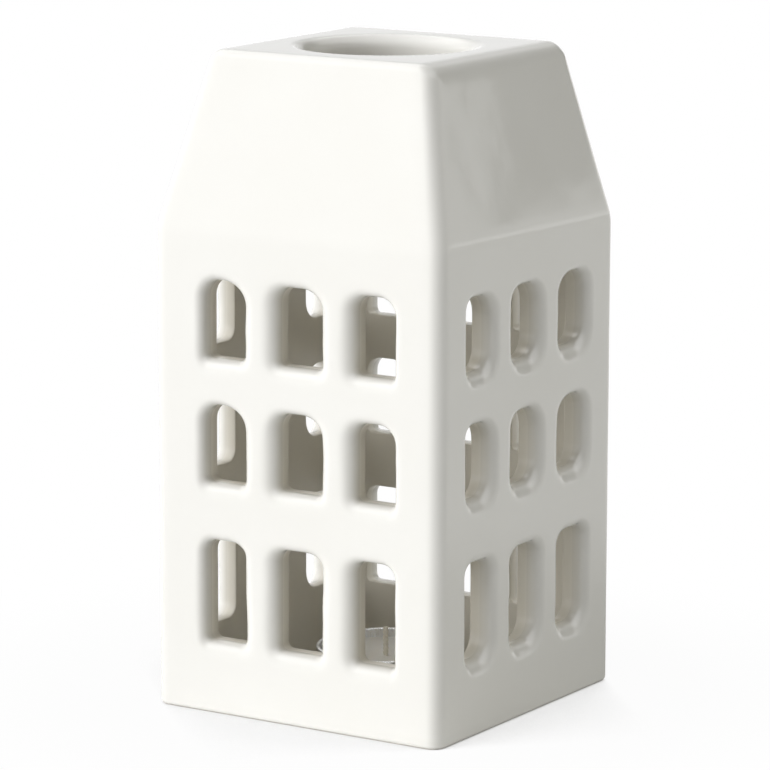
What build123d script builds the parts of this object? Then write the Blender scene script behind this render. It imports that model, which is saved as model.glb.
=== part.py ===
from build123d import *
import math
import os

# A hollow ceramic house that is set down over a lit tealight. Its four walls carry three rows of
# windows, its roof leans in to a flat top with a round vent, and its base is open, so that it
# lifts off the tealight. Millimetres, +Z up, origin on the table at the middle of the footprint.

# Shell, overall
shell_width = 90.0
shell_height = 177.0
wall_thickness = 7.7
top_thickness = 7.7

# Roof, which leans in from a soft eave
eave_height = 131.0
roof_inset = 10.5
eave_soft_radius = 20.0

# Shell edges, softened by the mould and the glaze
corner_radius = 4.6
inner_corner_radius = 4.0
top_edge_radius = 4.4
foot_outer_bevel = 1.2
foot_inner_bevel = 0.8

# Vent in the flat top, its rim rolled over in a few bevels
vent_radius = 23.0
vent_rim_radius = 4.0
vent_rim_bevels = 3

# Windows, alike on all four walls
window_columns = 3
window_pitch = 23.9
window_width = 13.0
window_bottom_corner = 2.0
window_rim_bevel = 2.3
upper_window_height = 20.8
upper_window_arch = 6.3
lower_window_height = 27.3
lower_window_arch = 3.8
top_row_sill = 96.5
middle_row_sill = 63.0
bottom_row_sill = 19.8

# Tealight cup, pressed from thin aluminium, with a rolled rim
cup_height = 13.0
cup_radius = 18.4
cup_sheet = 0.4
cup_bend = 0.3
cup_rim_height = 1.2
cup_rim_reach = 0.6

# Wax, cast into the cup
wax_height = 10.6
wax_side_gap = 0.1
wax_pocket_gap = 0.05

# Wick and the steel tab that holds it upright
tab_radius = 7.0
tab_sheet = 0.3
tab_neck_height = 4.0
tab_neck_wall = 0.3
wick_radius = 0.8
wick_gap = 0.05
wick_stand = 7.6
wick_tip_bevel = 0.3

# How far cutting bodies run past what they cut
overrun = 2.0
# Places nearer to each other than this are one place
same_place = 0.01

half_width = shell_width / 2
inner_top = shell_height - top_thickness
inner_half = half_width - wall_thickness
roof_lean = roof_inset / (shell_height - eave_height)


def rises(edge):
    """True for an edge whose ends stand at different heights."""
    return abs(edge.position_at(0).Z - edge.position_at(1).Z) > same_place


def at_height(edge, height):
    """True for a level edge at the height given."""
    return not rises(edge) and abs(edge.center().Z - height) < same_place


def crossed(body):
    """The same body turned a quarter turn about the house's upright axis."""
    return Plane.XY.rotated((0, 0, 90)) * body


def house_form(half, eave, top, soft, corner):
    """Square upright body with four leaning roof faces and rounded corners."""
    top_half = half - (top - eave) * roof_lean
    right = [(half, 0), (half, eave), (top_half, top)]
    left = [(-top_half, top), (-half, eave), (-half, 0)]
    profile = make_face(Polyline(*right, *left, close=True))
    if soft:
        profile = fillet(profile.vertices().group_by(Axis.Y)[1], soft)
    along = extrude(Plane.XZ * profile, amount=half, both=True)
    form = along & crossed(along)
    return fillet(form.edges().filter_by(rises), corner)


def outer_form():
    """Outside of the shell, with its top and foot edges softened."""
    form = house_form(half_width, eave_height, shell_height, eave_soft_radius, corner_radius)
    form = fillet([edge for edge in form.edges() if at_height(edge, shell_height)], top_edge_radius)
    return chamfer([edge for edge in form.edges() if at_height(edge, 0)], foot_outer_bevel)


def cavity_form():
    """Space inside the shell, one wall in from the outside and open through the base."""
    lean_length = (1 + roof_lean**2) ** 0.5
    eave = eave_height - wall_thickness * (lean_length - 1) / roof_lean
    return house_form(inner_half, eave, inner_top, 0, inner_corner_radius)


def window_outline(height, arch):
    """One window, standing on its sill: arched corners above, small cut corners below."""
    outline = Rectangle(window_width, height, align=(Align.CENTER, Align.MIN))
    outline = fillet(outline.vertices().group_by(Axis.Y)[-1], arch)
    return chamfer(outline.vertices().group_by(Axis.Y)[0], window_bottom_corner)


def window_row(outline, sill):
    """One row of windows cut right through both of a pair of walls."""
    places = [(column - (window_columns - 1) / 2) * window_pitch for column in range(window_columns)]
    outlines = [Plane.XZ * Pos(place, sill) * outline for place in places]
    return Part() + [extrude(each, amount=half_width + overrun, both=True) for each in outlines]


def window_cutters():
    """All three rows, through the front and back walls and through the two side walls."""
    upper = window_outline(upper_window_height, upper_window_arch)
    lower = window_outline(lower_window_height, lower_window_arch)
    rows = window_row(upper, top_row_sill) + window_row(upper, middle_row_sill)
    rows += window_row(lower, bottom_row_sill)
    return rows, crossed(rows)


def outer_window_rims(shell):
    """Edges of the windows on the four upright outside faces."""
    rims = []
    for face in shell.faces().filter_by(GeomType.PLANE):
        normal = face.normal_at()
        reach = face.center().dot(normal)
        if abs(normal.Z) < same_place and abs(reach - half_width) < same_place:
            rims.extend(edge for wire in face.inner_wires() for edge in wire.edges())
    return rims


def vent_cutter():
    """Round plug for the vent, opening out at the top as the rolled rim does."""
    rim_base = shell_height - vent_rim_radius
    rim = []
    for step in range(vent_rim_bevels + 1):
        turn = math.radians(90 * step / vent_rim_bevels)
        reach = vent_radius + vent_rim_radius * (1 - math.cos(turn))
        rim.append((reach, rim_base + vent_rim_radius * math.sin(turn)))
    low, high = inner_top - overrun, shell_height + overrun
    section = Polyline((0, low), (vent_radius, low), *rim, (rim[-1][0], high), (0, high), close=True)
    return revolve(Plane.XZ * make_face(section), Axis.Z)


def house_shell():
    """The cast shell: walls, roof, windows, vent and foot in one piece."""
    shell = outer_form() - cavity_form()
    for cutter in window_cutters():
        shell -= cutter
    shell -= vent_cutter()
    shell = chamfer(outer_window_rims(shell), window_rim_bevel)
    foot_face = shell.faces().sort_by(Axis.Z)[0]
    return chamfer(foot_face.inner_wires()[0].edges(), foot_inner_bevel)


def standing(radius, height, base):
    """Round post standing on a height."""
    return Pos(0, 0, base) * Cylinder(radius, height, align=(Align.CENTER, Align.CENTER, Align.MIN))


def tealight_cup():
    """Pressed cup: upright side, small bend at the base and rolled rim."""
    cup = chamfer(standing(cup_radius, cup_height, 0).edges().sort_by(Axis.Z)[0], cup_bend)
    cup += standing(cup_radius + cup_rim_reach, cup_rim_height, cup_height - cup_rim_height)
    return cup - standing(cup_radius - cup_sheet, cup_height, cup_sheet)


def tab_body(grown):
    """Disc and neck of the wick tab, grown where the wax keeps clear of it."""
    neck_radius = wick_radius + wick_gap + tab_neck_wall
    disc = standing(tab_radius + grown, tab_sheet + grown, cup_sheet)
    return disc + standing(neck_radius + grown, tab_neck_height + grown, cup_sheet)


def wick_tab():
    """Steel disc with an upright neck that the wick stands in."""
    return tab_body(0) - standing(wick_radius + wick_gap, tab_neck_height, cup_sheet + tab_sheet)


def tealight_wick():
    """Straight wick from the tab up through the wax, with a blunt tip."""
    base = cup_sheet + tab_sheet
    wick = standing(wick_radius, wax_height + wick_stand - base, base)
    return chamfer(wick.edges().sort_by(Axis.Z)[-1], wick_tip_bevel)


def tealight_wax():
    """Cast wax that fills the cup and is moulded round the tab and the wick."""
    wax = standing(cup_radius - cup_sheet - wax_side_gap, wax_height - cup_sheet, cup_sheet)
    return wax - tab_body(wax_pocket_gap) - standing(wick_radius + wick_gap, wax_height, cup_sheet)


os.makedirs("parts", exist_ok=True)
pieces = {
    "house_shell": house_shell(),
    "tealight_cup": tealight_cup(),
    "tealight_wax": tealight_wax(),
    "tealight_wick": tealight_wick(),
    "wick_tab": wick_tab(),
}
for name, piece in pieces.items():
    export_step(piece, f"parts/{name}.step")
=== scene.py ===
import math
from collections import namedtuple

import bmesh
import bpy
from mathutils import Matrix, Vector, noise

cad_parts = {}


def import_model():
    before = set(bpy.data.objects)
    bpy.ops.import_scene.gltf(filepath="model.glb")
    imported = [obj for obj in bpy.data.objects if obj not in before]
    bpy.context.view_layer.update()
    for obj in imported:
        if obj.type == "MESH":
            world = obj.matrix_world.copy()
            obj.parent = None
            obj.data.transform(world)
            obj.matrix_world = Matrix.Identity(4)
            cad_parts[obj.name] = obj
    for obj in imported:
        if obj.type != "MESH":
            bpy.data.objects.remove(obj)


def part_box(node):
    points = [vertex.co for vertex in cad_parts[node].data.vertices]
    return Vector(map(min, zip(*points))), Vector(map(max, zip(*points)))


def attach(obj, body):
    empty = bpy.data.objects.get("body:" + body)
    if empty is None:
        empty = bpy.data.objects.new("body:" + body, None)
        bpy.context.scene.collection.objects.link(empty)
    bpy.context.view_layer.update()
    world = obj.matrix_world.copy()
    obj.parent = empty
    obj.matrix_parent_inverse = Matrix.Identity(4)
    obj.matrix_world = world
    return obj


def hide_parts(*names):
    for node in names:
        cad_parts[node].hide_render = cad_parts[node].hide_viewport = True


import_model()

# The looks of the tealight house: its cast and glazed shell, the tealight inside it, a pale floor,
# soft light and the camera. Metres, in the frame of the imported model.

MM = 0.001
QUARTER = math.radians(90)
UP = Vector((0, 0, 1))
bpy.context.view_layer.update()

# Shell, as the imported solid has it
HOUSE_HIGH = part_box("house_shell")[1]
HALF = HOUSE_HIGH.x
HEIGHT = HOUSE_HIGH.z
WALL = 7.7 * MM
EAVE_HEIGHT = 131 * MM
ROOF_INSET = 10.5 * MM
ROOF_LEAN = math.atan(ROOF_INSET / (HEIGHT - EAVE_HEIGHT))

# Its edges, as the mould and the glaze soften them
CORNER = 4 * MM
INNER_CORNER = 4 * MM
TOP_CORNER_LEAST = 0.9 * MM
EAVE_SOFT = 20 * MM
FOOT_ROUND = 1.2 * MM
FOOT_INNER_ROUND = 0.8 * MM
INNER_TOP_ROUND = 2 * MM
VENT_RADIUS = 22.6 * MM
VENT_ROUND = 3.4 * MM
VENT_INNER_ROUND = 0.8 * MM

# Lean of the casting: its top stands to the right of the walls, its eave runs lower at the back
ROOF_SHIFT = 0.6 * MM
EAVE_DROP = 1.7 * MM

# Windows
WINDOW_PITCH = 23.9 * MM
WINDOW_WIDTH = 13 * MM
Row = namedtuple("Row", "sill height arch")
WINDOW_ROWS = [
    Row(19.8 * MM, 27.3 * MM, 3.8 * MM),
    Row(63 * MM, 20.8 * MM, 6.3 * MM),
    Row(96.5 * MM, 20.8 * MM, 6.3 * MM),
]
RIM_INNER_ROUND = 0.4 * MM
# Flat strip of the mesh that holds the shape of a rim beside it
RIM_HOLD = 0.5 * MM
# Heights of the lowest and highest borders of the windows' cells
CELLS_LOW = 10 * MM
CELLS_HIGH = 124 * MM

# Walls as the hand left them. A column has its left and right edges moved along the wall, and its
# own radius of the soft rim and of the arch, left and right, where an arch is held to the radius of
# its row. A wall has its sills and tops moved up, the corner radius at the sill, left and right,
# and the radius of the soft rim over the arch and under the sill.
Column = namedtuple("Column", "left_move right_move left_rim right_rim left_arch right_arch")
Wall = namedtuple("Wall", "columns sill_move top_move left_corner right_corner arch_rim sill_rim")
FRONT_WALL = Wall(
    columns=(
        Column(1.1 * MM, 0.4 * MM, 2.4 * MM, 4.2 * MM, 5 * MM, 6.4 * MM),
        Column(0, 0.6 * MM, 3.9 * MM, 4.3 * MM, 4.5 * MM, 5.4 * MM),
        Column(0.3 * MM, 0, 3.9 * MM, 2.6 * MM, 4.5 * MM, 4.8 * MM),
    ),
    sill_move=-0.4 * MM,
    top_move=0,
    left_corner=1.7 * MM,
    right_corner=1.7 * MM,
    arch_rim=2.5 * MM,
    sill_rim=3.8 * MM,
)
SIDE_WALL = Wall(
    columns=(
        Column(0, 0, 2.8 * MM, 2.6 * MM, 3.2 * MM, 6.2 * MM),
        Column(-0.3 * MM, 0.2 * MM, 4.3 * MM, 2.6 * MM, 4.2 * MM, 6.3 * MM),
        Column(0, 0.5 * MM, 4.2 * MM, 2.5 * MM, 5.5 * MM, 5.6 * MM),
    ),
    sill_move=0,
    top_move=-0.45 * MM,
    left_corner=3.4 * MM,
    right_corner=5.2 * MM,
    arch_rim=1.9 * MM,
    sill_rim=4.6 * MM,
)
# Front, right, back and left: the outward direction, the direction to the right along the wall as
# seen from outside, the wall, and the radius of the soft edge between roof and flat top
Side = namedtuple("Side", "out along wall top_round")
SIDES = [
    Side(Vector((0, -1, 0)), Vector((1, 0, 0)), FRONT_WALL, 3 * MM),
    Side(Vector((1, 0, 0)), Vector((0, 1, 0)), SIDE_WALL, 6 * MM),
    Side(Vector((0, 1, 0)), Vector((-1, 0, 0)), FRONT_WALL, 4.4 * MM),
    Side(Vector((-1, 0, 0)), Vector((0, -1, 0)), SIDE_WALL, 4 * MM),
]
COLUMN_COUNT = len(FRONT_WALL.columns)
# Half width, corner radius and height of a ring of the shell on one of its sides
Station = namedtuple("Station", "half corner z")

# Mesh steps across and up a window's cell, round its corners and rim and through the wall
CELL_COLUMNS = 12
CELL_ROWS = [20, 16, 16]
ARCH_STEPS = 10
SILL_STEPS = 6
RIM_STEPS = 7
JAMB_STEPS = 3
RIM_INNER_STEPS = 3
# Mesh steps along a side of the shell
SIDE_MARGIN_STEPS = 2
FLAT_STEPS = COLUMN_COUNT * CELL_COLUMNS + 2 * SIDE_MARGIN_STEPS
CORNER_STEPS = 8
SIDE_STEPS = FLAT_STEPS + CORNER_STEPS
# Mesh steps up the outside of the shell and down its inside
FOOT_STEPS = 4
LOW_WALL_STEPS = 4
HIGH_WALL_STEPS = 3
EAVE_STEPS = 6
ROOF_STEPS = 18
TOP_EDGE_STEPS = 9
TOP_STEPS = 3
VENT_RIM_STEPS = 8
VENT_INNER_STEPS = 3
CEILING_STEPS = 4
CEILING_EDGE_STEPS = 4
INNER_ROOF_STEPS = 14
INNER_FOOT_STEPS = 3

# Unevenness of the casting, which only ever takes away, and never from the plane of the foot
UNEVEN_DEPTH = 0.12 * MM
UNEVEN_WIDE = 26 * MM
UNEVEN_FINE = 9 * MM
UNEVEN_FINE_SHARE = 0.25
UNEVEN_FINE_START = Vector((7, 3, 5))
UNEVEN_FROM_FOOT = 3 * MM
RIM_UNEVEN_SHARE = 0.12
RIM_UNEVEN_LENGTH = 7 * MM
# Mesh attribute that says how deep a place lies in the wall, from 0 outside to 1 inside
DEPTH_ATTRIBUTE = "wall_depth"

# Glaze, duller inside and darkened there by painted shade, and bare clay where the foot was wiped.
# Here and below, a noise is given by its size and its detail.
GLAZE_COLOUR = (0.83, 0.82, 0.785, 1)
GLAZE_THIN_COLOUR = (0.80, 0.785, 0.74, 1)
# Painted shade: darker colour for the inside of the house and deep in the window jambs
INSIDE_PAINTED_SHADE_COLOUR = (0.70, 0.665, 0.58, 1)
CLAY_COLOUR = (0.62, 0.56, 0.47, 1)
GLAZE_ROUGHNESS = 0.045
INSIDE_ROUGHNESS = 0.32
CLAY_ROUGHNESS = 0.85
INSIDE_SPAN = (0.2, 0.8)
CLAY_SPAN = (0.05 * MM, 0.35 * MM)
GLAZE_PATCHES = (34 * MM, 3)
RIPPLE = (7 * MM, 2)
RIPPLE_DEPTH = 0.012 * MM
PEEL = (1.1 * MM, 1)
PEEL_DEPTH = 0.0018 * MM
# How far below the ceiling the outer glaze runs on inwards from the vent, before the inside's
# duller glaze and painted shade are full
VENT_GLAZE_RUN = 14 * MM

# Cup, drawn from aluminium
CUP_RADIUS = 18.4 * MM
CUP_HEIGHT = 13 * MM
CUP_SHEET = 0.4 * MM
CUP_BEND = 1.2 * MM
CUP_BEAD = 0.6 * MM
CUP_PANEL_RADIUS = 14.5 * MM
CUP_PANEL_RISE = 0.3 * MM
CRIMPS = 60
CRIMP_DEPTH = 0.05 * MM
CRIMP_PATCHES = 3
CUP_SIDES = 240
CUP_PANEL_STEPS = 4
CUP_BEND_STEPS = 6
CUP_SIDE_STEPS = 12
CUP_BEAD_STEPS = 10
CUP_LIP_STEPS = 4

# Wax, poured round the wick and its tab. Its rings crowd towards the edge from a share of the way.
WAX_HEIGHT = 10.6 * MM
WAX_GAP = 0.1 * MM
WAX_DISH = 0.45 * MM
WAX_CLIMB = 0.4 * MM
WAX_CLIMB_REACH = 0.7 * MM
WAX_UNEVEN = 0.05 * MM
WAX_UNEVEN_LENGTH = 5 * MM
WAX_SIDES = 96
WAX_BASE_STEPS = 3
WAX_BEND_STEPS = 4
WAX_SIDE_STEPS = 5
WAX_RINGS = 36
WAX_CROWDED_SHARE = 0.5
WAX_LAST_RING_SHARE = 0.999

# Wick, braided flat. A strand swings across and, twice as often, out of the flat. Its ends are
# rounded by rings, given by their radius and how far out they stand, in strand radii.
WICK_TOP = 18.1 * MM
WICK_FOOT = 1 * MM
STRANDS = 3
STRAND_RADIUS = 0.36 * MM
STRAND_SWING = 0.42 * MM
STRAND_DEPTH = 0.2 * MM
STRAND_PITCH = 3.4 * MM
STRAND_SIDES = 10
STRAND_STEPS = 110
STRAND_END_SHARES = [(0.85, 0.45), (0.55, 0.8)]

# Metals, with lines of one size across and another upright, and duller patches
Metal = namedtuple("Metal", "name colour dull_colour roughness lines_across lines_upright line_depth")
ALUMINIUM = Metal(
    name="cup_aluminium",
    colour=(0.86, 0.865, 0.87, 1),
    dull_colour=(0.74, 0.745, 0.755, 1),
    roughness=(0.18, 0.36),
    lines_across=0.12 * MM,
    lines_upright=6 * MM,
    line_depth=0.006 * MM,
)
STEEL = Metal(
    name="tab_steel",
    colour=(0.60, 0.60, 0.61, 1),
    dull_colour=(0.50, 0.50, 0.51, 1),
    roughness=(0.32, 0.448),
    lines_across=3 * MM,
    lines_upright=0.15 * MM,
    line_depth=0.004 * MM,
)
METAL_PATCHES = (4 * MM, 3)
METAL_LINE_DETAIL = 3
# Values between which most of a noise lies
NOISE_SPAN = (0.3, 0.7)

WAX_COLOUR = (0.86, 0.845, 0.80, 1)
WAX_DEEP_COLOUR = (0.80, 0.775, 0.71, 1)
WAX_ROUGHNESS = (0.38, 0.494)
WAX_GLOW = 0.35
WAX_GLOW_RADIUS = (1, 0.75, 0.5)
WAX_GLOW_SCALE = 1.5 * MM
WAX_PATCHES = (5 * MM, 2)
WAX_GRAIN = (0.9 * MM, 4)
WAX_GRAIN_DEPTH = 0.02 * MM

COTTON_COLOUR = (0.82, 0.78, 0.69, 1)
COTTON_SHADE_COLOUR = (0.62, 0.57, 0.47, 1)
COTTON_ROUGHNESS = (0.7, 0.84)
FIBRE_ACROSS = 0.09 * MM
FIBRE_UPRIGHT = 0.8 * MM
FIBRE_DETAIL = 2
FIBRE_DEPTH = 0.03 * MM

# Floor
FLOOR_SIZE = 8
FLOOR_COLOUR = (0.80, 0.80, 0.79, 1)
# White share of the floor as the camera sees it, near the house and away, and where it changes
FLOOR_SHARES = (0.96, 1)
FLOOR_FADE = (60 * MM, 160 * MM)
# How far a spot of floor looks up for what closes it in, and how open it is to be plain and white
OPENNESS_SAMPLES = 4
OPENNESS_REACH = 200 * MM
OPENNESS_SPAN = (0.18, 0.42)
# White share as the glaze mirrors it, in the house's shade and away from the middle of that
MIRRORED_SHARES = (0.15, 1)
MIRRORED_FADE = (50 * MM, 200 * MM)
MIRRORED_SHADE = Vector((60, 60, 0)) * MM

# Light from all round in lobes, each with its power of the cosine. Azimuths and elevations are in
# degrees, azimuth 0 in front and 90 to the right.
Lobe = namedtuple("Lobe", "azimuth elevation power strength colour")
LOBES = [
    Lobe(-32, 8.5, 6, 6.6, (0.985, 0.99, 1)),
    Lobe(130, 22, 4, 1.42, (1, 1, 0.955)),
    Lobe(0, 90, 3, 0.12, (1, 1, 1)),
]
# Surroundings beyond the floor, and their strength in reflections: brighter at the horizon and
# overhead, with a dark stretch behind to the right between two azimuths and above the horizon.
# A height is that of the direction's unit vector, an edge is half the width of the change.
SURROUNDINGS_COLOUR = (0.8, 0.8, 0.8, 1)
MIRRORED_STRENGTH = 1.35
HORIZON_STRENGTH = 2.1
HORIZON_HEIGHTS = (0, 0.05)
OVERHEAD_STRENGTH = 4
OVERHEAD_HEIGHTS = (0.4, 0.75)
DARK_STRENGTH = 0.1
DARK_HEIGHTS = (0.058, 0.068)
DARK_START_AZIMUTH = 148.5
DARK_START_EDGE = 0.002
DARK_END_AZIMUTH = 185
DARK_END_EDGE = 0.15

# Camera, as the photograph's. Angles are in degrees, lens and sensor in millimetres.
VIEW_AZIMUTH = 32.582
VIEW_ELEVATION = 10.909
VIEW_ROLL = 0.128
VIEW_DISTANCE = 1176.4 * MM
VIEW_CENTRE = Vector((0.21, -0.99, 85.07)) * MM
VIEW_LENS = 204.37
VIEW_SENSOR = 36
# Distances between which the camera sees
VIEW_NEAREST = 10 * MM
VIEW_FARTHEST = 100


def steps(start, end, count):
    """Evenly spaced values from start to end, both included."""
    return [start + (end - start) * i / count for i in range(count + 1)]


def held(share):
    """Share, held between 0 and 1."""
    return min(max(share, 0), 1)


def eased(share):
    """Share from 0 to 1 that starts and ends gently."""
    return share * share * (3 - 2 * share)


def arc(centre_half, centre_z, radius, start, end, count):
    """Half widths and heights along an arc of a profile, angles from the outward level."""
    turns = steps(start, end, count)
    return [(centre_half + radius * math.cos(t), centre_z + radius * math.sin(t)) for t in turns]


def direction(azimuth, elevation):
    """Unit vector from the object towards a viewer."""
    a, e = math.radians(azimuth), math.radians(elevation)
    return Vector((math.sin(a) * math.cos(e), -math.cos(a) * math.cos(e), math.sin(e)))


def smooth_object(name, mesh):
    """Smoothly shaded object from mesh code."""
    data = bpy.data.meshes.new(name)
    mesh.to_mesh(data)
    mesh.free()
    for face in data.polygons:
        face.use_smooth = True
    made = bpy.data.objects.new(name, data)
    bpy.context.scene.collection.objects.link(made)
    return made


def join_loops(mesh, first, second):
    """Faces between two closed runs of as many points."""
    count = len(first)
    for i in range(count):
        k = (i + 1) % count
        mesh.faces.new((first[i], first[k], second[k], second[i]))


def window_edges(wall, index):
    """Left and right edge of the windows in a column, as places along the wall from its middle."""
    column = wall.columns[index]
    middle = (index - (COLUMN_COUNT - 1) / 2) * WINDOW_PITCH
    left = middle - WINDOW_WIDTH / 2 + column.left_move
    right = middle + WINDOW_WIDTH / 2 + column.right_move
    return left, right


def flat_shares(wall, flat_half, inside):
    """Where the upright mesh lines stand on a wall's flat, from -1 at its left to 1 at its right.
    The windows' cells meet halfway between their rims."""
    stops = [-flat_half]
    for index, column in enumerate(wall.columns):
        left, right = window_edges(wall, index)
        stops.append(left - (RIM_INNER_ROUND if inside else column.left_rim))
        stops.append(right + (RIM_INNER_ROUND if inside else column.right_rim))
    stops.append(flat_half)
    edges = [(a + b) / 2 for a, b in zip(stops[::2], stops[1::2])]
    places = steps(-flat_half, edges[0], SIDE_MARGIN_STEPS)
    for left, right in zip(edges, edges[1:]):
        places += steps(left, right, CELL_COLUMNS)[1:]
    places += steps(edges[-1], flat_half, SIDE_MARGIN_STEPS)[1:]
    return [place / flat_half for place in places]


def squared_ring(stations, shares):
    """Rounded square anticlockwise from above, each side's flat before its corner. Each side has
    its own station and shares of its flat."""
    ring = []
    for index, side in enumerate(SIDES):
        half, corner, z = stations[index]
        before = stations[index - 1]
        after = stations[(index + 1) % len(SIDES)]
        first = (before.corner + corner) / 2 - before.half
        corner = (corner + after.corner) / 2
        last = after.half - corner
        for share in shares[index]:
            place = first + (last - first) * (share + 1) / 2
            ring.append(side.out * half + side.along * place + UP * z)
        centre = side.out * (half - corner) + side.along * last
        for step in range(1, CORNER_STEPS):
            part = step / CORNER_STEPS
            turn = QUARTER * part
            place = centre + (side.out * math.cos(turn) + side.along * math.sin(turn)) * corner
            ring.append(place + UP * (z + (after.z - z) * eased(part)))
    for place in ring:
        lean(place)
    return ring


def lean(place):
    """Moves a place of the shell by the lean of the casting."""
    roof_share = max(place.z - EAVE_HEIGHT, 0) / (HEIGHT - EAVE_HEIGHT)
    wall_share = held((place.z - CELLS_HIGH) / (EAVE_HEIGHT - CELLS_HIGH))
    back_share = (place.y / HALF + 1) / 2
    place.x += ROOF_SHIFT * roof_share
    place.z -= EAVE_DROP * back_share * eased(wall_share) * (1 - roof_share)


def round_ring(radius, z):
    """Circle at one height, with as many points as a rounded square and in the same order."""
    ring = []
    for side in SIDES:
        for step in range(SIDE_STEPS):
            turn = QUARTER * (step - FLAT_STEPS / 2) / SIDE_STEPS
            point = (side.out * math.cos(turn) + side.along * math.sin(turn)) * radius
            ring.append(Vector((point.x, point.y, z)))
    return ring


def between_rings(first, last, count):
    """Rings that lead from one ring to another, both left out."""
    return [[a.lerp(b, i / count) for a, b in zip(first, last)] for i in range(1, count)]


def wall_heights():
    """Heights of the mesh lines on the upright walls, from the lowest window cell to the highest.
    The cells of two rows meet halfway between their rims."""
    arch_rim = max(side.wall.arch_rim for side in SIDES)
    sill_rim = max(side.wall.sill_rim for side in SIDES)
    edges = [CELLS_LOW]
    for below, above in zip(WINDOW_ROWS, WINDOW_ROWS[1:]):
        edges.append((below.sill + below.height + arch_rim + above.sill - sill_rim) / 2)
    edges.append(CELLS_HIGH)
    heights = [CELLS_LOW]
    for low, high, count in zip(edges, edges[1:], CELL_ROWS):
        heights += steps(low, high, count)[1:]
    return heights


def outer_profile():
    """Outside of the shell below and above the wall rows, up to the roof, as (half width, height)."""
    foot = arc(HALF - FOOT_ROUND, FOOT_ROUND, FOOT_ROUND, -QUARTER, 0, FOOT_STEPS)
    low = [(HALF, z) for z in steps(FOOT_ROUND, CELLS_LOW, LOW_WALL_STEPS)[1:-1]]
    eave_low = EAVE_HEIGHT - EAVE_SOFT * math.tan(ROOF_LEAN / 2)
    high = [(HALF, z) for z in steps(CELLS_HIGH, eave_low, HIGH_WALL_STEPS)[1:-1]]
    eave = arc(HALF - EAVE_SOFT, eave_low, EAVE_SOFT, 0, ROOF_LEAN, EAVE_STEPS)
    return foot + low, high + eave


def top_stations(turn):
    """Stations of the four sides at an angle of the top's soft edge, from the outward level."""
    stations = []
    for side in SIDES:
        radius = side.top_round
        lost = radius * ((1 - math.sin(ROOF_LEAN)) / math.cos(ROOF_LEAN) - math.cos(turn))
        corner = max(CORNER - max(lost, 0), TOP_CORNER_LEAST)
        z = HEIGHT - radius * (1 - math.sin(turn))
        stations.append(Station(HALF - ROOF_INSET - lost, corner, z))
    return stations


def vent_profile():
    """Vent from the flat top over its rim and down to the ceiling, as (radius, height)."""
    rim_radius = VENT_RADIUS + VENT_ROUND
    rim = arc(rim_radius, HEIGHT - VENT_ROUND, VENT_ROUND, QUARTER, 2 * QUARTER, VENT_RIM_STEPS)
    inner_radius = VENT_RADIUS + VENT_INNER_ROUND
    inner_z = HEIGHT - WALL + VENT_INNER_ROUND
    inner_turns = (2 * QUARTER, 3 * QUARTER)
    inner = arc(inner_radius, inner_z, VENT_INNER_ROUND, *inner_turns, VENT_INNER_STEPS)
    return [(rim_radius + RIM_HOLD, HEIGHT)] + rim + inner


def inner_profile():
    """Inside of the shell from ceiling to foot, as (half width, height), without the wall rows."""
    half = HALF - WALL
    top = HEIGHT - WALL
    slope = math.tan(ROOF_LEAN)
    eave = EAVE_HEIGHT - WALL * (1 / math.cos(ROOF_LEAN) - 1) / slope
    top_half = half - (top - eave) * slope
    r = INNER_TOP_ROUND
    centre = top_half - r * (1 - math.sin(ROOF_LEAN)) / math.cos(ROOF_LEAN)
    ceiling = arc(centre, top - r, r, QUARTER, ROOF_LEAN, CEILING_EDGE_STEPS)
    roof_halves = steps(ceiling[-1][0], half, INNER_ROOF_STEPS)
    roof_heights = steps(ceiling[-1][1], eave, INNER_ROOF_STEPS)
    roof = list(zip(roof_halves, roof_heights))[1:]
    high = [(half, z) for z in steps(eave, CELLS_HIGH, HIGH_WALL_STEPS)[1:-1]]
    low = [(half, z) for z in steps(CELLS_LOW, FOOT_INNER_ROUND, LOW_WALL_STEPS)[1:-1]]
    r = FOOT_INNER_ROUND
    foot = arc(half + r, r, r, -2 * QUARTER, -QUARTER, INNER_FOOT_STEPS)
    return ceiling + roof + high, low + foot


def shell_rings():
    """All rings of the shell in one closed run: up the outside, down the vent and the inside.
    Also gives the places of the first wall ring outside and of the first one inside."""
    outer_shares = [flat_shares(side.wall, HALF - CORNER, False) for side in SIDES]
    inner_shares = [flat_shares(side.wall, HALF - WALL - INNER_CORNER, True) for side in SIDES]

    def outer_ring(half, z):
        lost = max(HALF - half, 0) if z < CELLS_LOW else 0
        return squared_ring([Station(half, CORNER - lost, z)] * len(SIDES), outer_shares)

    def inner_ring(half, z):
        corner = INNER_CORNER + max(half - (HALF - WALL), 0)
        return squared_ring([Station(half, corner, z)] * len(SIDES), inner_shares)

    low, high = outer_profile()
    rings = [outer_ring(*point) for point in low]
    outer_start = len(rings)
    rings += [outer_ring(HALF, z) for z in wall_heights()]
    rings += [outer_ring(*point) for point in high]
    turns = steps(ROOF_LEAN, QUARTER, TOP_EDGE_STEPS)
    top = [squared_ring(top_stations(turn), outer_shares) for turn in turns]
    rings += between_rings(rings[-1], top[0], ROOF_STEPS) + top
    vent = [round_ring(*point) for point in vent_profile()]
    rings += between_rings(rings[-1], vent[0], TOP_STEPS) + vent
    high, low = inner_profile()
    rings += between_rings(rings[-1], inner_ring(*high[0]), CEILING_STEPS)
    rings += [inner_ring(*point) for point in high]
    inner_start = len(rings)
    rings += [inner_ring(HALF - WALL, z) for z in reversed(wall_heights())]
    rings += [inner_ring(*point) for point in low]
    return rings, outer_start, inner_start


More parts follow.
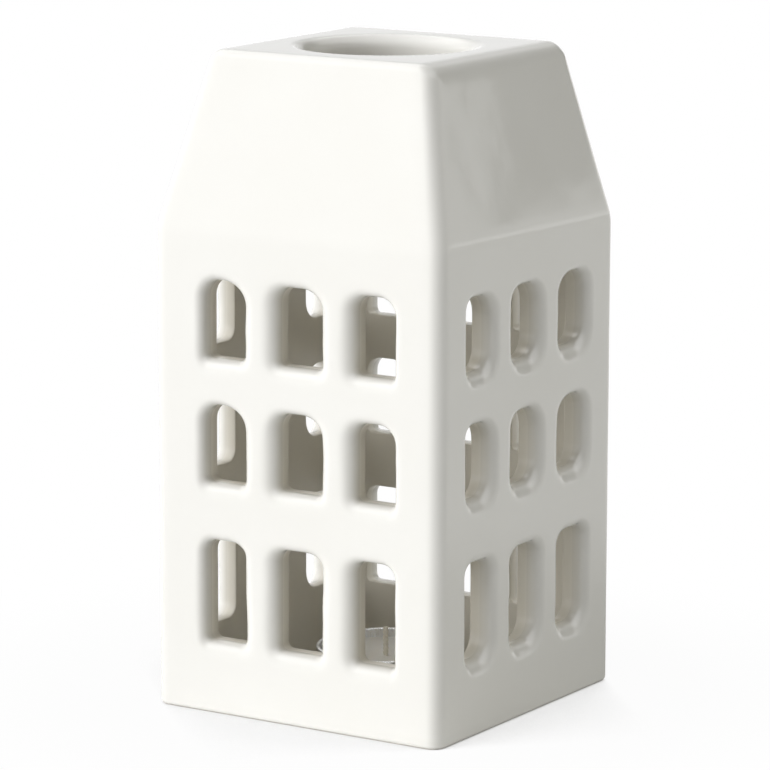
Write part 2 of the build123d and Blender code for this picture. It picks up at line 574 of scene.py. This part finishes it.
def window_outline(wall, column, row):
    """Points round a window's opening and the way out from each, anticlockwise from the middle of
    its lower left corner, as (place along the wall, height)."""
    left, right = window_edges(wall, column)
    sill, height, arch = WINDOW_ROWS[row]
    top = sill + height + wall.top_move
    sill += wall.sill_move

    def corner(radius, at_right, at_top):
        x = right - radius if at_right else left + radius
        z = top - radius if at_top else sill + radius
        return Vector((x, z)), radius

    low_left = corner(wall.left_corner, False, False)
    low_right = corner(wall.right_corner, True, False)
    high_right = corner(min(arch, wall.columns[column].right_arch), True, True)
    high_left = corner(min(arch, wall.columns[column].left_arch), False, True)
    level_low = CELL_COLUMNS - SILL_STEPS
    level_high = CELL_COLUMNS - ARCH_STEPS
    upright = CELL_ROWS[row] - (SILL_STEPS + ARCH_STEPS) // 2
    parts = [  # steps before the corner, the corner, its first and last quarter turns, steps round it
        (0, low_left, (2.5, 3), SILL_STEPS // 2),
        (level_low, low_right, (3, 4), SILL_STEPS),
        (upright, high_right, (0, 1), ARCH_STEPS),
        (level_high, high_left, (1, 2), ARCH_STEPS),
        (upright, low_left, (2, 2.5), SILL_STEPS // 2),
    ]
    outline = []
    for before, (centre, radius), (start, end), count in parts:
        round_part = []
        for turn in steps(QUARTER * start, QUARTER * end, count):
            way = Vector((math.cos(turn), math.sin(turn)))
            round_part.append((centre + way * radius, way))
        if before:
            last, way = outline[-1]
            outline += [(last.lerp(round_part[0][0], i / before), way) for i in range(1, before)]
        outline += round_part
    return outline[:-1]


def rim_radius(side, column, point, way):
    """Radius of a window's rim at a point of its opening, by the way out there, a little uneven."""
    edges = side.wall.columns[column]
    beside = edges.right_rim if way.x > 0 else edges.left_rim
    over = side.wall.arch_rim if way.y > 0 else side.wall.sill_rim
    place = side.out * HALF + side.along * point.x + UP * point.y
    uneven = 1 + RIM_UNEVEN_SHARE * noise.noise(place / RIM_UNEVEN_LENGTH)
    return (beside * way.x ** 2 + over * way.y ** 2) * uneven


def window_sections():
    """Rim, jamb and inner rim of a window from the outside in, as (offset from the opening in rim
    radii, more offset, depth in rim radii, more depth)."""
    sections = [(1, RIM_HOLD, 0, 0)]
    for turn in steps(0, QUARTER, RIM_STEPS):
        sections.append((1 - math.sin(turn), 0, 1 - math.cos(turn), 0))
    r = RIM_INNER_ROUND
    deep = WALL - r
    for share in steps(0, 1, JAMB_STEPS)[1:]:
        sections.append((0, 0, 1 - share, deep * share))
    for turn in steps(0, QUARTER, RIM_INNER_STEPS)[1:]:
        sections.append((0, r * (1 - math.cos(turn)), 0, deep + r * math.sin(turn)))
    sections.append((0, r + RIM_HOLD, 0, WALL))
    return sections


def cell_border(wall_rings, side, column, row):
    """Mesh points round a window's cell, anticlockwise from its lower left, seen from outside."""
    left = side * SIDE_STEPS + SIDE_MARGIN_STEPS + column * CELL_COLUMNS
    right = left + CELL_COLUMNS
    low = sum(CELL_ROWS[:row])
    high = low + CELL_ROWS[row]
    border = [wall_rings[low][across] for across in range(left, right)]
    border += [wall_rings[up][right] for up in range(low, high)]
    border += [wall_rings[high][across] for across in range(right, left, -1)]
    border += [wall_rings[up][left] for up in range(high, low, -1)]
    return border


def in_window_cell(side_step):
    """True for a step along a side where the wall rows have window cells."""
    return SIDE_MARGIN_STEPS <= side_step < SIDE_MARGIN_STEPS + COLUMN_COUNT * CELL_COLUMNS


def add_window(mesh, outer_wall, inner_wall, index, column, row):
    """One window through its wall, joined to the cells outside and inside."""
    side = SIDES[index]
    outline = window_outline(side.wall, column, row)
    radii = [rim_radius(side, column, point, way) for point, way in outline]
    loop = cell_border(outer_wall, index, column, row)
    for rim_out, offset, rim_deep, depth in window_sections():
        verts = []
        for (point, way), radius in zip(outline, radii):
            at = point + way * (rim_out * radius + offset)
            place = side.out * (HALF - rim_deep * radius - depth) + side.along * at.x
            verts.append(mesh.verts.new((place.x, place.y, at.y)))
        join_loops(mesh, loop, verts)
        loop = verts
    join_loops(mesh, loop, cell_border(inner_wall, index, column, row))


def build_shell():
    """The whole shell as one closed mesh of four-sided faces."""
    mesh = bmesh.new()
    rings, outer_start, inner_start = shell_rings()
    rings = [[mesh.verts.new(point) for point in ring] for ring in rings]
    rows = sum(CELL_ROWS)
    wall_bands = {start + row for start in (outer_start, inner_start) for row in range(rows)}
    for band, ring in enumerate(rings):
        above = rings[(band + 1) % len(rings)]
        for i in range(len(ring)):
            if band in wall_bands and in_window_cell(i % SIDE_STEPS):
                continue
            k = (i + 1) % len(ring)
            mesh.faces.new((ring[i], ring[k], above[k], above[i]))
    outer_wall = rings[outer_start:outer_start + rows + 1]
    inner_wall = rings[inner_start:inner_start + rows + 1][::-1]
    for index in range(len(SIDES)):
        for column in range(COLUMN_COUNT):
            for row in range(len(WINDOW_ROWS)):
                add_window(mesh, outer_wall, inner_wall, index, column, row)
    loose = [vert for vert in mesh.verts if not vert.link_faces]
    bmesh.ops.delete(mesh, geom=loose, context="VERTS")
    mesh.normal_update()
    depth = mesh.verts.layers.float.new(DEPTH_ATTRIBUTE)
    for vert in mesh.verts:
        vert[depth] = wall_depth(vert.co)
    make_uneven(mesh)
    return smooth_object("glazed_shell", mesh)


def wall_depth(place):
    """How deep a place lies in the wall, from 0 outside and in the vent to 1 inside. Below the vent
    the outer glaze runs on inwards a little."""
    inset = max(place.z - EAVE_HEIGHT, 0) * math.tan(ROOF_LEAN)
    from_side = HALF - inset - max(abs(place.x), abs(place.y))
    below_vent = HEIGHT - WALL - place.z
    return held(min(from_side / WALL, below_vent / VENT_GLAZE_RUN))


def make_uneven(mesh):
    """Takes a little off the surface here and there, as in a slip casting under its glaze."""
    moves = []
    for vert in mesh.verts:
        wide = noise.noise(vert.co / UNEVEN_WIDE)
        fine = noise.noise(vert.co / UNEVEN_FINE + UNEVEN_FINE_START)
        both = (1 - UNEVEN_FINE_SHARE) * wide + UNEVEN_FINE_SHARE * fine
        moves.append(vert.normal * (-UNEVEN_DEPTH * held((both + 1) / 2)))
    for vert, move in zip(mesh.verts, moves):
        height_share = min(vert.co.z / UNEVEN_FROM_FOOT, 1)
        vert.co += Vector((move.x, move.y, move.z * height_share))


def new_piece(name, mesh, body, node):
    """Smooth piece from mesh code, which rides on a body and stands for a node of the model."""
    piece = smooth_object(name, mesh)
    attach(piece, body)
    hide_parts(node)
    return piece


def turned(profile, sides):
    """Closed mesh turned round the upright axis from (radius, height) points, from the axis below
    to the axis above."""
    mesh = bmesh.new()
    ends = [mesh.verts.new((0, 0, profile[0][1])), mesh.verts.new((0, 0, profile[-1][1]))]
    turns = [math.tau * i / sides for i in range(sides)]
    rings = []
    for radius, z in profile[1:-1]:
        rings.append([mesh.verts.new((radius * math.cos(t), radius * math.sin(t), z)) for t in turns])
    for first, second in zip(rings, rings[1:]):
        join_loops(mesh, first, second)
    for i in range(sides):
        k = (i + 1) % sides
        mesh.faces.new((ends[0], rings[0][k], rings[0][i]))
        mesh.faces.new((ends[1], rings[-1][i], rings[-1][k]))
    return mesh


def build_cup():
    """Drawn cup with a raised panel in its base, a rolled rim and faint crimps down its side."""
    inner = CUP_RADIUS - CUP_SHEET
    bend_centre = CUP_RADIUS - CUP_BEND
    inner_bend = CUP_BEND - CUP_SHEET
    bead_z = CUP_HEIGHT - CUP_BEAD
    lip_z = CUP_HEIGHT - CUP_SHEET
    panel = steps(CUP_PANEL_RADIUS / CUP_PANEL_STEPS, CUP_PANEL_RADIUS, CUP_PANEL_STEPS)
    panel_edge = CUP_PANEL_RADIUS + CUP_PANEL_RISE
    panel_high = CUP_PANEL_RISE + CUP_SHEET
    profile = [(0, CUP_PANEL_RISE)]
    profile += [(r, CUP_PANEL_RISE) for r in panel]
    profile.append((panel_edge, 0))
    profile += arc(bend_centre, CUP_BEND, CUP_BEND, -QUARTER, 0, CUP_BEND_STEPS)
    profile += [(CUP_RADIUS, z) for z in steps(CUP_BEND, bead_z - CUP_BEAD, CUP_SIDE_STEPS)[1:-1]]
    profile += arc(CUP_RADIUS, bead_z, CUP_BEAD, -QUARTER, QUARTER, CUP_BEAD_STEPS)
    profile += arc(CUP_RADIUS, lip_z, CUP_SHEET, QUARTER, 2 * QUARTER, CUP_LIP_STEPS)[1:]
    profile += [(inner, z) for z in steps(lip_z, CUP_BEND, CUP_SIDE_STEPS)[1:-1]]
    profile += arc(bend_centre, CUP_BEND, inner_bend, 0, -QUARTER, CUP_BEND_STEPS - 1)
    profile.append((panel_edge, CUP_SHEET))
    profile += [(r, panel_high) for r in reversed(panel)]
    profile.append((0, panel_high))
    mesh = turned(profile, CUP_SIDES)
    for vert in mesh.verts:
        radius = math.hypot(vert.co.x, vert.co.y)
        if radius > CUP_PANEL_RADIUS:
            share = 1 - crimp(vert.co) / radius
            vert.co.x *= share
            vert.co.y *= share
    cup = new_piece("cup", mesh, "tealight", "tealight_cup")
    cup.data.materials.append(metal(ALUMINIUM))


def crimp(place):
    """How far the crimps draw in the cup's side at a place. They fade above the bend and below
    the rim."""
    above_bend = held((place.z - CUP_BEND) / CUP_BEND)
    below_rim = held((CUP_HEIGHT - CUP_BEAD - place.z) / CUP_BEND)
    turn = math.atan2(place.y, place.x)
    uneven = 1 + noise.noise(Vector((math.cos(turn), math.sin(turn), 0)) * CRIMP_PATCHES)
    wave = (math.cos(CRIMPS * turn) + 1) / 2
    return CRIMP_DEPTH * eased(above_bend) * eased(below_rim) * uneven * wave


def build_wax():
    """Poured wax, dished as it cooled, that climbs a little at the cup and round the wick."""
    radius = CUP_RADIUS - CUP_SHEET - WAX_GAP
    low = CUP_PANEL_RISE + CUP_SHEET + WAX_GAP
    bend = CUP_BEND - CUP_SHEET - WAX_GAP
    side = radius - bend
    even = (1 - (1 - WAX_CROWDED_SHARE) ** 2) / WAX_CROWDED_SHARE

    def top(r):
        share = r / radius
        climb = math.exp((r - radius) / WAX_CLIMB_REACH) + math.exp(-r / WAX_CLIMB_REACH)
        return WAX_HEIGHT - WAX_CLIMB - WAX_DISH * (1 - share * share) + WAX_CLIMB * min(climb, 1)

    base = steps(side / (WAX_BASE_STEPS + 1), side, WAX_BASE_STEPS)
    profile = [(0, low)] + [(r, low) for r in base]
    profile += arc(side, low + bend, bend, -QUARTER, 0, WAX_BEND_STEPS)[1:]
    profile += [(radius, z) for z in steps(low + bend, top(radius), WAX_SIDE_STEPS)[1:]]
    for share in steps(1, 0, WAX_RINGS)[1:-1]:
        out = 1 - (1 - share) ** 2 if share > WAX_CROWDED_SHARE else share * even
        r = radius * out
        profile.append((min(r, radius * WAX_LAST_RING_SHARE), top(r)))
    profile.append((0, top(0)))
    mesh = turned(profile, WAX_SIDES)
    for vert in mesh.verts:
        if vert.co.z > WAX_HEIGHT / 2:
            vert.co.z += WAX_UNEVEN * (noise.noise(vert.co / WAX_UNEVEN_LENGTH) - 1)
    wax = new_piece("wax", mesh, "tealight", "tealight_wax")
    wax.data.materials.append(paraffin())


def build_wick():
    """Wick of strands in a flat braid."""
    mesh = bmesh.new()
    for strand in range(STRANDS):
        centres = []
        for z in steps(WICK_FOOT, WICK_TOP - STRAND_RADIUS, STRAND_STEPS):
            turn = math.tau * (z / STRAND_PITCH + strand / STRANDS)
            across = STRAND_SWING * math.sin(turn)
            deep = STRAND_DEPTH * math.sin(2 * turn)
            centres.append(Vector((across, deep, z)))
        add_tube(mesh, centres, STRAND_RADIUS)
    wick = new_piece("wick", mesh, "tealight", "tealight_wick")
    wick.data.materials.append(cotton())


def add_tube(mesh, centres, radius):
    """Closed tube along a run of points, with rounded ends."""
    rings = []
    last = len(centres) - 1
    for i, centre in enumerate(centres):
        ahead = centres[min(i + 1, last)] - centres[max(i - 1, 0)]
        across = ahead.cross(Vector((0, 1, 0))).normalized()
        upright = ahead.cross(across).normalized()
        shares = [(1, 0)]
        if i == 0:
            shares = [(scale, -out) for scale, out in reversed(STRAND_END_SHARES)] + shares
        if i == last:
            shares += STRAND_END_SHARES
        for scale, out in shares:
            middle = centre + ahead.normalized() * (out * radius)
            rings.append(tube_ring(mesh, middle, across, upright, radius * scale))
    for first, second in zip(rings, rings[1:]):
        join_loops(mesh, first, second)
    mesh.faces.new(list(reversed(rings[0])))
    mesh.faces.new(rings[-1])


def tube_ring(mesh, centre, across, upright, radius):
    """One ring of a tube, anticlockwise as seen from ahead."""
    ring = []
    for i in range(STRAND_SIDES):
        turn = math.tau * i / STRAND_SIDES
        way = across * math.cos(turn) + upright * math.sin(turn)
        ring.append(mesh.verts.new(centre + way * radius))
    return ring


class Tree:
    """Node tree of a material or world, with its output node and short ways to add others. Where a
    node takes a value, that is a plain one or another node's output."""

    def __init__(self, owner, output):
        owner.use_nodes = True
        self.nodes = owner.node_tree.nodes
        self.links = owner.node_tree.links
        self.nodes.clear()
        self.surface = self.nodes.new(output).inputs["Surface"]

    def give(self, socket, value):
        """Sets an input, or links it to another node's output."""
        if isinstance(value, bpy.types.NodeSocket):
            self.links.new(value, socket)
        else:
            socket.default_value = value

    def add(self, kind, values, **settings):
        """Outputs of a new node, by the values of its named inputs and its settings."""
        node = self.nodes.new(kind)
        for name, setting in settings.items():
            setattr(node, name, setting)
        for name, value in values.items():
            self.give(node.inputs[name], value)
        return node.outputs

    def calculated(self, kind, operation, values):
        """Outputs of a new node that works on its inputs in their order."""
        node = self.nodes.new(kind)
        node.operation = operation
        for socket, value in zip(node.inputs, values):
            self.give(socket, value)
        return node.outputs

    def math(self, operation, *values):
        """Result of a calculation with numbers."""
        return self.calculated("ShaderNodeMath", operation, values)["Value"]

    def vector(self, operation, *values):
        """Result of a calculation with vectors that gives a vector."""
        return self.calculated("ShaderNodeVectorMath", operation, values)["Vector"]

    def measure(self, operation, *values):
        """Result of a calculation with vectors that gives a number."""
        return self.calculated("ShaderNodeVectorMath", operation, values)["Value"]

    def mapped(self, value, span, result=(0, 1)):
        """Value eased from one span to another, held at its ends."""
        values = {
            "Value": value,
            "From Min": span[0],
            "From Max": span[1],
            "To Min": result[0],
            "To Max": result[1],
        }
        return self.add("ShaderNodeMapRange", values, interpolation_type="SMOOTHSTEP")["Result"]

    def place(self, kind="Object"):
        """Coordinates of one kind."""
        return self.add("ShaderNodeTexCoord", {})[kind]

    def height(self, place):
        """Third coordinate of a place."""
        return self.add("ShaderNodeSeparateXYZ", {"Vector": place})["Z"]

    def noise(self, place, size, detail):
        """Noise of a size, from 0 to 1."""
        values = {"Vector": place, "Scale": 1 / size, "Detail": detail}
        return self.add("ShaderNodeTexNoise", values)["Fac"]

    def lines(self, place, across, upright, detail):
        """Noise of one size across and another upright, from 0 to 1."""
        stretched = self.vector("MULTIPLY", place, (1 / across, 1 / across, 1 / upright))
        return self.noise(stretched, 1, detail)

    def mixed(self, share, first, second):
        """Colour between two colours."""
        values = {"Factor": share, "A": first, "B": second}
        return self.add("ShaderNodeMix", values, data_type="RGBA")["Result"]

    def bump(self, height, depth, under=None):
        """Normal of a surface raised by a height from 0 to 1, times a depth, over other bumps."""
        values = {"Strength": 1, "Distance": depth, "Height": height}
        if under is not None:
            values["Normal"] = under
        return self.add("ShaderNodeBump", values)["Normal"]

    def shader(self, kind, values):
        """Result of a new shader, by the values of its named inputs."""
        return self.add(kind, values)[0]

    def mixed_shader(self, *values):
        """Shader between two shaders, by the share of the second and the two."""
        node = self.nodes.new("ShaderNodeMixShader")
        for socket, value in zip(node.inputs, values):
            self.give(socket, value)
        return node.outputs[0]

    def show(self, shader):
        """Makes a shader the surface."""
        self.links.new(shader, self.surface)

    def show_principled(self, values):
        """Makes a principled shader the surface, by the values of its named inputs."""
        self.show(self.shader("ShaderNodeBsdfPrincipled", values))

    def rays(self):
        """Shares for camera rays and for rays that were mirrored or let through."""
        path = self.add("ShaderNodeLightPath", {})
        shiny = self.math("MAXIMUM", path["Is Glossy Ray"], path["Is Transmission Ray"])
        return path["Is Camera Ray"], shiny


def new_material(name):
    """New material and its tree."""
    material = bpy.data.materials.new(name)
    return material, Tree(material, "ShaderNodeOutputMaterial")


def glaze():
    """White glaze over a slip casting, duller inside with painted shade, and a wiped foot of bare
    clay.
    """
    material, tree = new_material("glazed_shell")
    place = tree.place()
    depth = tree.add("ShaderNodeAttribute", {}, attribute_name=DEPTH_ATTRIBUTE)
    inside = tree.mapped(depth["Fac"], INSIDE_SPAN)
    bare = tree.mapped(tree.height(place), CLAY_SPAN, (1, 0))
    colour = tree.mixed(tree.noise(place, *GLAZE_PATCHES), GLAZE_COLOUR, GLAZE_THIN_COLOUR)
    # Painted shade: the inside and the deep part of the jambs take a darker colour
    colour = tree.mixed(inside, colour, INSIDE_PAINTED_SHADE_COLOUR)
    colour = tree.mixed(bare, colour, CLAY_COLOUR)
    glazed_roughness = tree.mapped(inside, (0, 1), (GLAZE_ROUGHNESS, INSIDE_ROUGHNESS))
    bare_roughness = tree.math("MULTIPLY", bare, CLAY_ROUGHNESS)
    ripple = tree.bump(tree.noise(place, *RIPPLE), RIPPLE_DEPTH)
    tree.show_principled({
        "Base Color": colour,
        "Roughness": tree.math("MAXIMUM", glazed_roughness, bare_roughness),
        "Normal": tree.bump(tree.noise(place, *PEEL), PEEL_DEPTH, ripple),
    })
    return material


def metal(look):
    """Metal with fine lines in its surface, duller and brighter in patches."""
    material, tree = new_material(look.name)
    place = tree.place()
    lines = tree.lines(place, look.lines_across, look.lines_upright, METAL_LINE_DETAIL)
    patches = tree.noise(place, *METAL_PATCHES)
    tree.show_principled({
        "Base Color": tree.mixed(patches, look.colour, look.dull_colour),
        "Metallic": 1,
        "Roughness": tree.mapped(lines, NOISE_SPAN, look.roughness),
        "Normal": tree.bump(lines, look.line_depth),
    })
    return material


def paraffin():
    """White wax that light enters a little, faintly grained on top."""
    material, tree = new_material("wax")
    place = tree.place()
    grain = tree.noise(place, *WAX_GRAIN)
    tree.show_principled({
        "Base Color": tree.mixed(tree.noise(place, *WAX_PATCHES), WAX_COLOUR, WAX_DEEP_COLOUR),
        "Roughness": tree.mapped(grain, NOISE_SPAN, WAX_ROUGHNESS),
        "Normal": tree.bump(grain, WAX_GRAIN_DEPTH),
        "Subsurface Weight": WAX_GLOW,
        "Subsurface Radius": WAX_GLOW_RADIUS,
        "Subsurface Scale": WAX_GLOW_SCALE,
    })
    return material


def cotton():
    """Waxed cotton with fibres along the wick."""
    material, tree = new_material("wick_cotton")
    fibres = tree.lines(tree.place(), FIBRE_ACROSS, FIBRE_UPRIGHT, FIBRE_DETAIL)
    tree.show_principled({
        "Base Color": tree.mixed(fibres, COTTON_SHADE_COLOUR, COTTON_COLOUR),
        "Roughness": tree.mapped(fibres, (0, 1), COTTON_ROUGHNESS),
        "Normal": tree.bump(fibres, FIBRE_DEPTH),
    })
    return material


def floor():
    """Pale floor: white to the camera but for a soft shadow, and plain where it is closed in."""
    bpy.ops.mesh.primitive_plane_add(size=FLOOR_SIZE)
    plane = bpy.context.object
    plane.name = "floor"
    material, tree = new_material("floor")
    place = tree.place()
    seen_ray, shiny_ray = tree.rays()
    seen = tree.mapped(tree.measure("DISTANCE", place, Vector()), FLOOR_FADE, FLOOR_SHARES)
    shade = tree.measure("DISTANCE", place, MIRRORED_SHADE)
    mirrored = tree.mapped(shade, MIRRORED_FADE, MIRRORED_SHARES)
    seen = tree.math("MULTIPLY", seen, seen_ray)
    mirrored = tree.math("MULTIPLY", mirrored, shiny_ray)
    reach = {"Distance": OPENNESS_REACH}
    openness = tree.add("ShaderNodeAmbientOcclusion", reach, samples=OPENNESS_SAMPLES)["AO"]
    share = tree.math("ADD", seen, mirrored)
    share = tree.math("MULTIPLY", share, tree.mapped(openness, OPENNESS_SPAN))
    plain = tree.shader("ShaderNodeBsdfDiffuse", {"Color": FLOOR_COLOUR})
    white = tree.shader("ShaderNodeEmission", {"Strength": 1})
    tree.show(tree.mixed_shader(share, plain, white))
    plane.data.materials.append(material)


def world():
    """Soft light from all round, brighter from some sides. Reflections have surroundings of their
    own, and the camera sees plain pale ones beyond the floor."""
    made = bpy.data.worlds.new("studio")
    bpy.context.scene.world = made
    tree = Tree(made, "ShaderNodeOutputWorld")
    way = tree.place("Generated")
    seen_ray, shiny_ray = tree.rays()
    colour = (0, 0, 0)
    for lobe in LOBES:
        facing = tree.measure("DOT_PRODUCT", way, direction(lobe.azimuth, lobe.elevation))
        lit = tree.math("POWER", tree.math("MAXIMUM", facing, 0), lobe.power)
        lit = tree.math("MULTIPLY", lit, lobe.strength)
        colour = tree.vector("MULTIPLY_ADD", lobe.colour, lit, colour)
    plain = {"Color": SURROUNDINGS_COLOUR}
    mirrored = {"Color": SURROUNDINGS_COLOUR, "Strength": mirrored_strength(tree, way)}
    light = tree.shader("ShaderNodeBackground", {"Color": colour})
    unseen = tree.mixed_shader(shiny_ray, light, tree.shader("ShaderNodeBackground", mirrored))
    seen = tree.shader("ShaderNodeBackground", plain)
    tree.show(tree.mixed_shader(seen_ray, unseen, seen))


def mirrored_strength(tree, way):
    """Strength of the surroundings in reflections, by the direction."""
    height = tree.height(way)
    horizon = tree.mapped(height, HORIZON_HEIGHTS, (HORIZON_STRENGTH, MIRRORED_STRENGTH))
    overhead = tree.mapped(height, OVERHEAD_HEIGHTS, (0, OVERHEAD_STRENGTH - MIRRORED_STRENGTH))
    started = past_azimuth(tree, way, DARK_START_AZIMUTH, DARK_START_EDGE, (0, 1))
    unended = past_azimuth(tree, way, DARK_END_AZIMUTH, DARK_END_EDGE, (1, 0))
    dark = tree.math("MULTIPLY", tree.mapped(height, DARK_HEIGHTS), started)
    dark = tree.math("MULTIPLY", dark, unended)
    lost = tree.math("MULTIPLY", dark, MIRRORED_STRENGTH - DARK_STRENGTH)
    return tree.math("SUBTRACT", tree.math("ADD", horizon, overhead), lost)


def past_azimuth(tree, way, azimuth, edge, result):
    """Result that changes where a direction passes an azimuth."""
    square = direction(azimuth + math.degrees(QUARTER), 0)
    return tree.mapped(tree.measure("DOT_PRODUCT", way, square), (-edge, edge), result)


def camera():
    """Camera at the photograph's place."""
    data = bpy.data.cameras.new("camera")
    data.sensor_width = VIEW_SENSOR
    data.lens = VIEW_LENS
    data.clip_start = VIEW_NEAREST
    data.clip_end = VIEW_FARTHEST
    made = bpy.data.objects.new("camera", data)
    bpy.context.scene.collection.objects.link(made)
    azimuth, roll = math.radians(VIEW_AZIMUTH), math.radians(VIEW_ROLL)
    back = direction(VIEW_AZIMUTH, VIEW_ELEVATION)
    level = Vector((math.cos(azimuth), math.sin(azimuth), 0))
    steep = back.cross(level)
    right = level * math.cos(roll) + steep * math.sin(roll)
    up = steep * math.cos(roll) - level * math.sin(roll)
    turned_to_view = Matrix((right, up, back)).transposed().to_4x4()
    place = VIEW_CENTRE + back * VIEW_DISTANCE
    made.matrix_world = Matrix.Translation(place) @ turned_to_view
    bpy.context.scene.camera = made


shell = build_shell()
shell.data.materials.append(glaze())
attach(shell, "house")
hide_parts("house_shell")

build_cup()
build_wax()
build_wick()
tab = bpy.data.objects["wick_tab"]
tab.data.materials.clear()
tab.data.materials.append(metal(STEEL))

floor()
world()
camera()
bpy.context.scene.view_settings.view_transform = "Standard"
